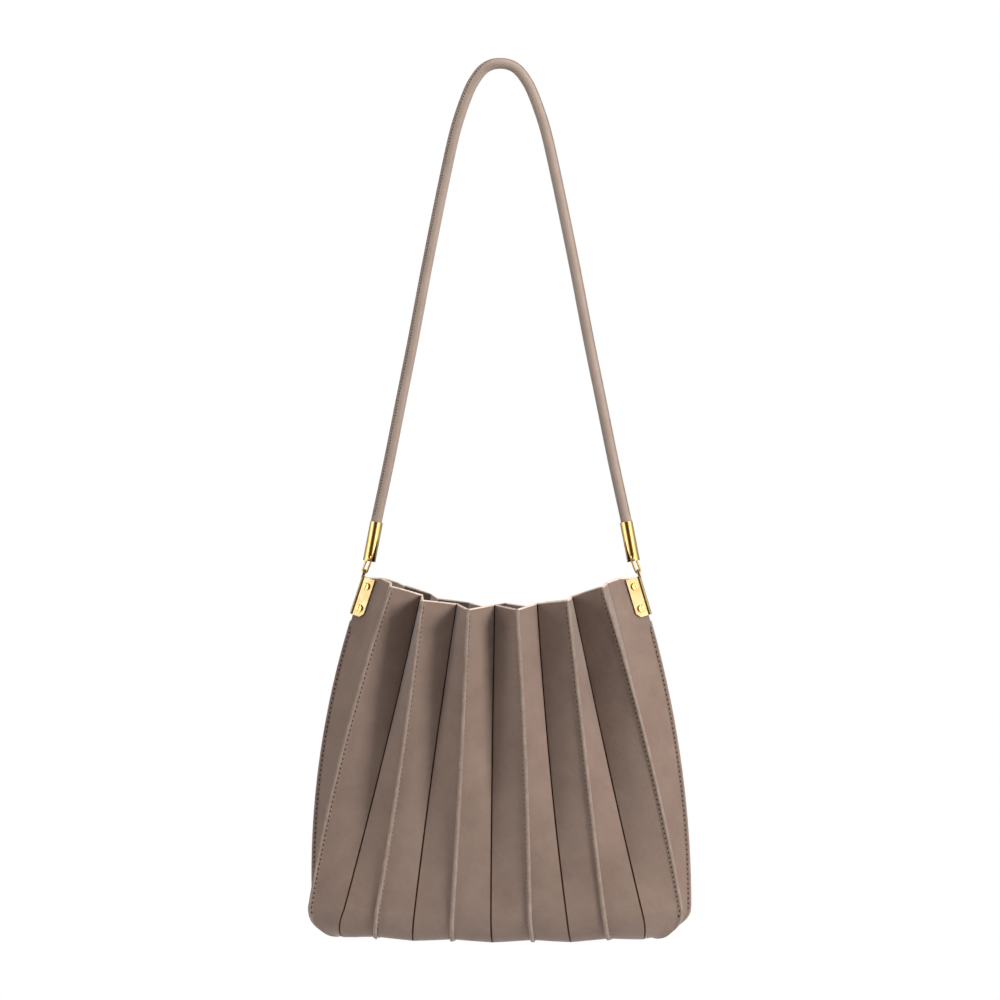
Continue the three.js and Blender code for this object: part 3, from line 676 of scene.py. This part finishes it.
# Stitches: short rounded lengths of thread, joined into one mesh per piece

def stitch_shape(length, thickness):
    """A short rounded thread along x, partly sunk below z 0."""
    rings = []
    for along, size in STITCH_ROWS:
        ring = []
        for i in range(STITCH_SIDES):
            angle = i / STITCH_SIDES * 2 * math.pi
            y = math.cos(angle) * thickness / 2 * size
            z = math.sin(angle) * thickness / 2 * size + thickness * STITCH_LIFT * size
            ring.append((along * length, y, z))
        rings.append(ring)
    return loft(rings)


def hole_shape(radius):
    """Painted shade of a needle hole, seen as a small dark dot: a disc that rises a little to its
    middle.
    """
    rim = [(math.cos(a) * radius, math.sin(a) * radius, 0)
           for a in np.linspace(0, 2 * math.pi, HOLE_SIDES, endpoint=False)]
    faces = [(i, (i + 1) % HOLE_SIDES, HOLE_SIDES) for i in range(HOLE_SIDES)]
    return rim + [(0, 0, HOLE_RISE)], faces


def add_stitches(name, places, length=STITCH_LENGTH, pitch=STITCH_PITCH,
                 hole_radius=HOLE_RADIUS):
    """places holds (centre, direction, outward) of each stitch."""
    thread_shape = stitch_shape(length, STITCH_THICKNESS)
    hole_dot = hole_shape(hole_radius)
    vertices, faces, material = [], [], []
    for centre, direction, outward in places:
        x = direction / np.linalg.norm(direction)
        z = outward - x * np.dot(outward, x)
        z /= np.linalg.norm(z)
        axes = np.array([x, np.cross(z, x), z])
        # A dark disc of painted shade where the needle hole is.
        hole = centre + x * pitch / 2 + z * HOLE_LIFT
        for (points, skin), place, slot in ((thread_shape, centre, 0), (hole_dot, hole, 1)):
            start = len(vertices)
            vertices.extend(place + np.array(points) @ axes)
            faces.extend(tuple(start + i for i in face) for face in skin)
            material.extend([slot] * len(skin))
    piece = add_mesh(name, vertices, faces, [taupe_thread, needle_hole_shade], material, 60)
    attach(piece, "root")


def spaced(points, pitch, margin):
    """Places every pitch along a polyline, clear of its ends: (index, share within that step)."""
    points = np.array(points)
    lengths = np.linalg.norm(np.diff(points, axis=0), axis=1)
    total = np.concatenate([[0], np.cumsum(lengths)])
    found = []
    distance = margin
    while distance < total[-1] - margin:
        i = min(int(np.searchsorted(total, distance, side="right")) - 1, len(lengths) - 1)
        found.append((i, (distance - total[i]) / lengths[i]))
        distance += pitch
    return found


def seam_stitch_places(valley, side):
    """Stitches on one gore's face of a standing seam, following it round the turn."""
    surface, outward = [], []
    index = valley + side
    first_share = CLAMP_SHARE if is_side(index) else 0
    for share, degrees, reach in wall_rows():
        if share < first_share or fin_share_at(index, degrees) < STITCH_FIN:
            continue
        out = seam_direction(index, share)
        across = np.array([-out[1], out[0], 0]) * -side
        fin = fin_at(index, share)
        height = (fin - BEAD_HEIGHT) * STITCH_AT
        root = side_point(FOLDS[index], share) - out * fin
        point = root + out * height + across * (SEAM_GAP / 2 + mix(WALL, SKIVED_WALL, STITCH_AT))
        if degrees > 0:
            point = bend(point, WALL + height, degrees, reach, 0)
        surface.append(point)
        outward.append(across)
    places = []
    for i, part in spaced(surface, STITCH_PITCH, STITCH_PITCH):
        centre = mix(surface[i], surface[i + 1], part)
        places.append((centre, surface[i + 1] - surface[i], outward[i]))
    return places


def add_seam_stitches():
    for back in (False, True):
        places = []
        for valley in range(1, LAST, 2):
            for side in (-1, 1):
                places += seam_stitch_places(valley, side)
        if back:
            flip = np.array([1, -1, 1])
            places = [(c * flip, d * flip, o * flip) for c, d, o in places]
        add_stitches("seam_stitches_" + ("back" if back else "front"), places)


# Strap and ferrules, with lengths as in the solids

FERRULE_RADIUS = 4.45 * MM
FERRULE_BEAD = 0.35 * MM                # the solid's rolled edge, which its box takes in
FERRULE_BORE = 3.7 * MM
FERRULE_LENGTH = 28 * MM
FERRULE_TILT = math.radians(10.9)
FERRULE_LIP = 0.35 * MM                 # rounding of both ends
FERRULE_HOLLOW = 7 * MM                 # depth of the open lower end
FERRULE_PLUG = 13 * MM                  # depth of the strap's socket that is drawn
FERRULE_WALL_CENTRE = 0.3 * MM          # radius of the disc that closes a wall inside

# Middle line of one leg from the top, as shares of the way out and down to the ferrule's mouth
STRAP_ROUTE = [
    (0, 0), (0.07, 0.003), (0.133, 0.0125), (0.188, 0.03), (0.245, 0.057), (0.319, 0.11),
    (0.375, 0.163), (0.4375, 0.24), (0.498, 0.319), (0.593, 0.448), (0.703, 0.606),
    (0.799, 0.736), (0.896, 0.868), (1, 1),
]
STRAP_DIAMETER = 7.2 * MM
STRAP_SEAM = 0.5 * MM
STRAP_SEAM_THICKNESS = 2.4 * MM
STRAP_STEPS = 16                        # between two points of the route
STRAP_SECTION_STEPS = 30
STRAP_SEAM_EASE = 0.08                  # radians left between the roll's arc and its seam
STRAP_TWIST_TOP = math.radians(-22)     # below zero the seam leans to the back
STRAP_TWIST = {-1: math.radians(22), 1: math.radians(-20)}   # on the left and the right leg
STRAP_TWIST_RATE = 5                    # the turn takes a fifth of a leg's points, from the top
STRAP_STITCH_LENGTH = 1.5 * MM
STRAP_STITCH_PITCH = 2.2 * MM
STRAP_STITCH_ASIDE = 1.9 * MM           # from the seam's middle
STRAP_STITCH_MARGIN = 4 * MM            # no stitches this near the ferrules
STRAP_HOLE_RADIUS = 0.48 * MM


def ferrule_mouth(side):
    """Where the strap's middle line enters a ferrule, from the ferrule's own box."""
    low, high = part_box("ferrule_left" if side < 0 else "ferrule_right")
    half = FERRULE_RADIUS + FERRULE_BEAD
    z = high[2] - half * math.sin(FERRULE_TILT)
    inner_x = high[0] if side < 0 else low[0]
    x = inner_x + side * half * math.cos(FERRULE_TILT)
    return np.array([x, 0, z])


def strap_points():
    legs = {}
    for side in (-1, 1):
        mouth = ferrule_mouth(side)
        legs[side] = [np.array([abs(mouth[0]) * x * side, 0, mix(STRAP_DIAMETER / 2, mouth[2], z)])
                      for x, z in STRAP_ROUTE]
    return legs[-1][::-1] + legs[1][1:]


def catmull_rom(points, steps):
    """A smooth line through the points, with its direction at each place."""
    padded = [2 * points[0] - points[1], *points, 2 * points[-1] - points[-2]]
    line = []
    for i in range(1, len(padded) - 2):
        p0, p1, p2, p3 = padded[i - 1:i + 3]
        for k in range(steps):
            t = k / steps
            place = 0.5 * (2 * p1 + (p2 - p0) * t + (2 * p0 - 5 * p1 + 4 * p2 - p3) * t * t
                           + (3 * p1 - p0 - 3 * p2 + p3) * t ** 3)
            slope = 0.5 * ((p2 - p0) + 2 * (2 * p0 - 5 * p1 + 4 * p2 - p3) * t
                           + 3 * (3 * p1 - p0 - 3 * p2 + p3) * t * t)
            line.append((place, slope / np.linalg.norm(slope)))
    last = points[-1] - points[-2]
    line.append((points[-1], last / np.linalg.norm(last)))
    return line


def strap_section():
    """The roll with its pinched seam: (out, across, is edge) round the section."""
    radius = STRAP_DIAMETER / 2
    half = STRAP_SEAM_THICKNESS / 2
    start = math.asin(half / radius)
    points = []
    for i in range(STRAP_SECTION_STEPS + 1):
        angle = mix(start + STRAP_SEAM_EASE, 2 * math.pi - start - STRAP_SEAM_EASE,
                    i / STRAP_SECTION_STEPS)
        points.append((radius * math.cos(angle), radius * math.sin(angle), False))
    tip = radius + STRAP_SEAM
    root = radius * math.cos(start)
    seam = [
        (root + 0.1 * MM, -half), (root + 0.45 * MM, -half * 0.95),
        (tip - 0.05 * MM, -half * 0.8), (tip, -half * 0.5),
        (tip - 0.05 * MM, -half * 0.12), (tip - 0.4 * MM, 0),
    ]
    points += [(out, across, k >= 1) for k, (out, across) in enumerate(seam)]
    points += [(out, -across, k < len(seam) - 2) for k, (out, across) in enumerate(seam[-2::-1])]
    return points


def strap_frame(tangent, twist):
    """Directions of the seam and across it."""
    out = np.array([-tangent[2], 0, tangent[0]])
    across = np.array([0.0, 1.0, 0.0])
    return (out * math.cos(twist) - across * math.sin(twist),
            across * math.cos(twist) + out * math.sin(twist))


def strap_twists(count):
    middle = (count - 1) / 2
    twists = []
    for i in range(count):
        share = (i - middle) / middle
        side = -1 if share < 0 else 1
        turned = smooth(abs(share) * STRAP_TWIST_RATE)
        twists.append(mix(STRAP_TWIST_TOP, STRAP_TWIST[side], turned))
    return twists


def add_strap():
    line = catmull_rom(strap_points(), STRAP_STEPS)
    twists = strap_twists(len(line))
    section = strap_section()
    rings, places = [], []
    surface = {1: [], -1: []}
    for (place, tangent), twist in zip(line, twists):
        out, across = strap_frame(tangent, twist)
        rings.append([place + out * o + across * a for o, a, _ in section])
        for face in (1, -1):
            lean = math.asin(STRAP_STITCH_ASIDE / (STRAP_DIAMETER / 2)) * face
            outward = out * math.cos(lean) + across * math.sin(lean)
            surface[face].append((place + outward * STRAP_DIAMETER / 2, outward))
    vertices, faces = loft(rings)
    count = len(section)
    material = []
    for face in faces[:-2]:
        j = face[0] % count
        edge = section[j][2] and section[(j + 1) % count][2]
        material.append(1 if edge else 0)
    material += [0, 0]
    faces = face_outwards(vertices, faces)
    piece = add_mesh("strap_roll", vertices, faces, [strap_leather, seam_edge], material, 50)
    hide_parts("strap")
    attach(piece, "root")
    for face in (1, -1):
        points = [at for at, _ in surface[face]]
        for i, part in spaced(points, STRAP_STITCH_PITCH, STRAP_STITCH_MARGIN):
            centre = mix(points[i], points[i + 1], part)
            places.append((centre, points[i + 1] - points[i], surface[face][i][1]))
    add_stitches("strap_stitches", places,
                 STRAP_STITCH_LENGTH, STRAP_STITCH_PITCH, STRAP_HOLE_RADIUS)


# Metal fittings

PIN_RADIUS = 0.8 * MM
PIN_HEAD_RADIUS = 1.45 * MM
PIN_REACH = 0.6 * MM                    # the heads stand this far out of the ferrule
PIN_HEAD_SUNK = 0.15 * MM               # and start this far inside its surface
# Rows of (depth below the head's top, radius)
PIN_DOME = [
    (0, 0.15 * MM), (0.05 * MM, 0.6 * MM), (0.2 * MM, 1.1 * MM), (0.45 * MM, PIN_HEAD_RADIUS),
]
PIN_HEIGHT = 2.6 * MM                   # over the ferrule's lower end
LINK_LENGTH = 14.9 * MM
LINK_WIDTH = 4.9 * MM
LINK_WIRE = 1.5 * MM
LINK_TILT = math.radians(21)
LINK_TURN = math.radians(20)            # about its long axis
LINK_STEPS = 16                         # round each end
LINK_SIDES = 14
CLAMP_BEVEL = 0.4 * MM
SCREW_BEVEL = 0.2 * MM


def lathe(profile, origin, axis, sides=48):
    """Turns (distance along the axis, radius) rows into a closed skin."""
    axis = Vector(axis).normalized()
    across = axis.cross(Vector((0, 1, 0))).normalized()
    up = axis.cross(across)
    rings = []
    for along, radius in profile:
        ring = []
        for i in range(sides):
            angle = i / sides * 2 * math.pi
            side = across * math.cos(angle) + up * math.sin(angle)
            ring.append(np.array(Vector(origin) + axis * along + side * radius))
        rings.append(ring)
    return loft(rings)


def add_metal(name, shape, material, node):
    piece = add_mesh(name, *shape, [material], sharp_angle=40)
    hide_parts(node)
    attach(piece, "root")


def add_ferrule(side, name):
    mouth = ferrule_mouth(side)
    down = np.array([side * math.sin(FERRULE_TILT), 0, -math.cos(FERRULE_TILT)])
    lip = FERRULE_LIP
    radius = FERRULE_RADIUS
    length = FERRULE_LENGTH
    profile = [
        (FERRULE_PLUG, FERRULE_WALL_CENTRE), (FERRULE_PLUG, FERRULE_BORE), (lip, FERRULE_BORE),
        (0, FERRULE_BORE + lip), (0, radius - lip), (lip * 0.3, radius - lip * 0.3),
        (lip, radius), (length * 0.5, radius), (length - lip, radius),
        (length - lip * 0.3, radius - lip * 0.3), (length, radius - lip),
        (length, FERRULE_BORE + lip), (length - lip, FERRULE_BORE),
        (length - FERRULE_HOLLOW, FERRULE_BORE), (length - FERRULE_HOLLOW, FERRULE_WALL_CENTRE),
    ]
    add_metal(f"ferrule_{name}_tube", lathe(profile, mouth, down), polished_gold,
              f"ferrule_{name}")
    add_pin(name, mouth + down * (length - PIN_HEIGHT))


def add_pin(name, centre):
    """The cross pin, with a domed head at each end."""
    reach = FERRULE_RADIUS + PIN_REACH
    head = FERRULE_RADIUS - PIN_HEAD_SUNK
    profile = [(-reach + depth, radius) for depth, radius in PIN_DOME]
    profile += [(-head, PIN_HEAD_RADIUS), (-head, PIN_RADIUS)]
    profile += [(head, PIN_RADIUS), (head, PIN_HEAD_RADIUS)]
    profile += [(reach - depth, radius) for depth, radius in reversed(PIN_DOME)]
    add_metal(f"pin_{name}_round", lathe(profile, centre, (0, 1, 0.0001), 24), polished_gold,
              f"pin_{name}")


def add_link(side, name):
    """An oval ring of round wire, turned a little about its long axis."""
    low, high = (np.array(c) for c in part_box(f"link_{name}"))
    centre = (low + high) / 2
    along = np.array([side * math.sin(LINK_TILT), 0, -math.cos(LINK_TILT)])
    flat = np.array([math.cos(LINK_TILT), 0, side * math.sin(LINK_TILT)])
    across = flat * math.cos(LINK_TURN) + np.array([0, 1, 0]) * math.sin(LINK_TURN) * side
    normal = np.cross(along, across)
    bend_radius = (LINK_WIDTH - LINK_WIRE) / 2
    straight = (LINK_LENGTH - LINK_WIRE) / 2 - bend_radius
    rings = []
    for end in (1, -1):
        for i in range(LINK_STEPS + 1):
            angle = math.pi * i / LINK_STEPS
            outward = across * math.cos(angle) * end + along * math.sin(angle) * end
            middle = centre + along * straight * end + outward * bend_radius
            rings.append([middle + (outward * math.cos(a) + normal * math.sin(a)) * LINK_WIRE / 2
                          for a in np.linspace(0, 2 * math.pi, LINK_SIDES, endpoint=False)])
    points, faces = loft(rings, closed_along=True)
    faces = face_outwards(points, faces)
    add_metal(f"link_{name}_ring", (points, faces), polished_gold, f"link_{name}")


def add_softened(node, material, bevel, segments):
    """The solid itself with its edges rounded."""
    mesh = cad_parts[node].data.copy()
    mesh.materials.clear()
    mesh.materials.append(material)
    piece = bpy.data.objects.new(node + "_metal", mesh)
    bpy.context.collection.objects.link(piece)
    weld = piece.modifiers.new("weld", "WELD")
    weld.merge_threshold = 0.00001
    flat = piece.modifiers.new("flat", "DECIMATE")
    flat.decimate_type = "DISSOLVE"
    flat.angle_limit = math.radians(1.5)
    edge = piece.modifiers.new("bevel", "BEVEL")
    edge.width = bevel
    edge.segments = segments
    edge.limit_method = "ANGLE"
    edge.angle_limit = math.radians(25)
    even = piece.modifiers.new("even", "WEIGHTED_NORMAL")
    even.weight = 90
    mesh.shade_smooth()
    depsgraph = bpy.context.evaluated_depsgraph_get()
    final = bpy.data.meshes.new_from_object(piece.evaluated_get(depsgraph))
    piece.modifiers.clear()
    piece.data = final
    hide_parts(node)
    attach(piece, "root")


def add_fittings():
    for side, name in ((-1, "left"), (1, "right")):
        add_ferrule(side, name)
        add_link(side, name)
        add_softened(f"clamp_{name}", satin_gold, CLAMP_BEVEL, 3)
        for face in ("front", "back"):
            for level in ("upper", "lower"):
                screw = f"screw_{name}_{face}_{level}"
                add_softened(screw, polished_gold, SCREW_BEVEL, 2)


# Light and surroundings

FILL_STRENGTH = 0.185
MIRRORED_STRENGTH = 3.0                 # of the bands in front
MIRRORED_BEHIND = 0.22                  # share of it that is left behind the bag
MIRRORED_FADE = (-0.15, 0.3)            # direction y where the dimming starts and ends
# Colours by direction x, from the left at 0 to the right at 1
MIRRORED_BANDS = [
    (0.0, (0.36, 0.34, 0.32)), (0.05, (0.55, 0.53, 0.5)), (0.1, (1.0, 1.0, 0.97)),
    (0.16, (0.45, 0.42, 0.38)), (0.26, (0.16, 0.13, 0.1)), (0.36, (0.03, 0.018, 0.01)),
    (0.6, (0.02, 0.013, 0.008)), (0.72, (0.15, 0.12, 0.09)), (0.79, (0.4, 0.36, 0.32)),
    (0.86, (1.0, 1.0, 0.97)), (0.93, (0.6, 0.58, 0.55)), (1.0, (0.36, 0.34, 0.32)),
]
FLOOR_RADIUS = 0.6
FLOOR_HEIGHT = -0.75
FLOOR_SIDES = 96
AREA_LIGHTS = [
    dict(name="key", at=(2.5, -1.45, 0.5), size=(0.8, 1.2), power=108),
    dict(name="top", at=(0.1, -0.5, 1.4), size=(1.2, 1.2), power=24),
    dict(name="left", at=(-2.6, -0.9, 0.1), size=(0.8, 1.4), power=30),
    dict(name="back", at=(-1.6, 2.6, 0.6), size=(1.2, 1.2), power=45),
]
LIGHT_TARGET = (0, 0, -0.4)


def add_world():
    """White behind the bag, soft light on it, and bright and dark bands for the metal."""
    world = bpy.data.worlds.new("studio")
    bpy.context.scene.world = world
    world.use_nodes = True
    nodes, links = world.node_tree.nodes, world.node_tree.links
    seen = nodes["Background"]
    seen.inputs["Color"].default_value = (1, 1, 1, 1)
    seen.inputs["Strength"].default_value = 1.0
    fill = nodes.new("ShaderNodeBackground")
    fill.inputs["Color"].default_value = (1, 1, 1, 1)
    fill.inputs["Strength"].default_value = FILL_STRENGTH
    coords = nodes.new("ShaderNodeTexCoord")
    parts = nodes.new("ShaderNodeSeparateXYZ")
    links.new(coords.outputs["Generated"], parts.inputs["Vector"])
    spread = add_range(nodes, links, parts.outputs["X"], 0, 1)
    spread.inputs["From Min"].default_value = -1
    bands = add_ramp(nodes, links, spread.outputs["Result"], MIRRORED_BANDS)
    mirrored = nodes.new("ShaderNodeBackground")
    behind = add_range(nodes, links, parts.outputs["Y"], MIRRORED_STRENGTH,
                       MIRRORED_STRENGTH * MIRRORED_BEHIND)
    behind.inputs["From Min"].default_value = MIRRORED_FADE[0]
    behind.inputs["From Max"].default_value = MIRRORED_FADE[1]
    links.new(behind.outputs["Result"], mirrored.inputs["Strength"])
    links.new(bands.outputs["Color"], mirrored.inputs["Color"])
    path = nodes.new("ShaderNodeLightPath")
    glossy = nodes.new("ShaderNodeMixShader")
    links.new(path.outputs["Is Glossy Ray"], glossy.inputs["Fac"])
    links.new(fill.outputs["Background"], glossy.inputs[1])
    links.new(mirrored.outputs["Background"], glossy.inputs[2])
    blend = nodes.new("ShaderNodeMixShader")
    links.new(path.outputs["Is Camera Ray"], blend.inputs["Fac"])
    links.new(glossy.outputs["Shader"], blend.inputs[1])
    links.new(seen.outputs["Background"], blend.inputs[2])
    links.new(blend.outputs["Shader"], nodes["World Output"].inputs["Surface"])


def add_area(name, at, size, power):
    data = bpy.data.lights.new(name, "AREA")
    data.shape = "RECTANGLE"
    data.size = size[0]
    data.size_y = size[1]
    data.energy = power
    light = bpy.data.objects.new(name, data)
    light.location = at
    aim = Vector(LIGHT_TARGET) - Vector(at)
    light.rotation_euler = aim.to_track_quat("-Z", "Y").to_euler()
    light.visible_glossy = False
    bpy.context.collection.objects.link(light)


def add_floor():
    material, _, _, shader = new_material("pale_floor")
    shader.inputs["Base Color"].default_value = (0.9, 0.9, 0.9, 1)
    shader.inputs["Roughness"].default_value = 0.7
    rim = [(FLOOR_RADIUS * math.cos(a), FLOOR_RADIUS * math.sin(a), FLOOR_HEIGHT)
           for a in np.linspace(0, 2 * math.pi, FLOOR_SIDES, endpoint=False)]
    floor = add_mesh("floor", rim, [tuple(range(FLOOR_SIDES))], [material])


def add_light():
    add_world()
    for light in AREA_LIGHTS:
        add_area(**light)
    bpy.context.scene.view_settings.view_transform = "Standard"


add_camera()
for valley_fold in range(1, LAST, 2):
    add_gore(valley_fold, False)
    add_gore(valley_fold, True)
add_beads()
add_seam_stitches()
add_strap()
add_fittings()
dress_base()
add_floor()
add_light()
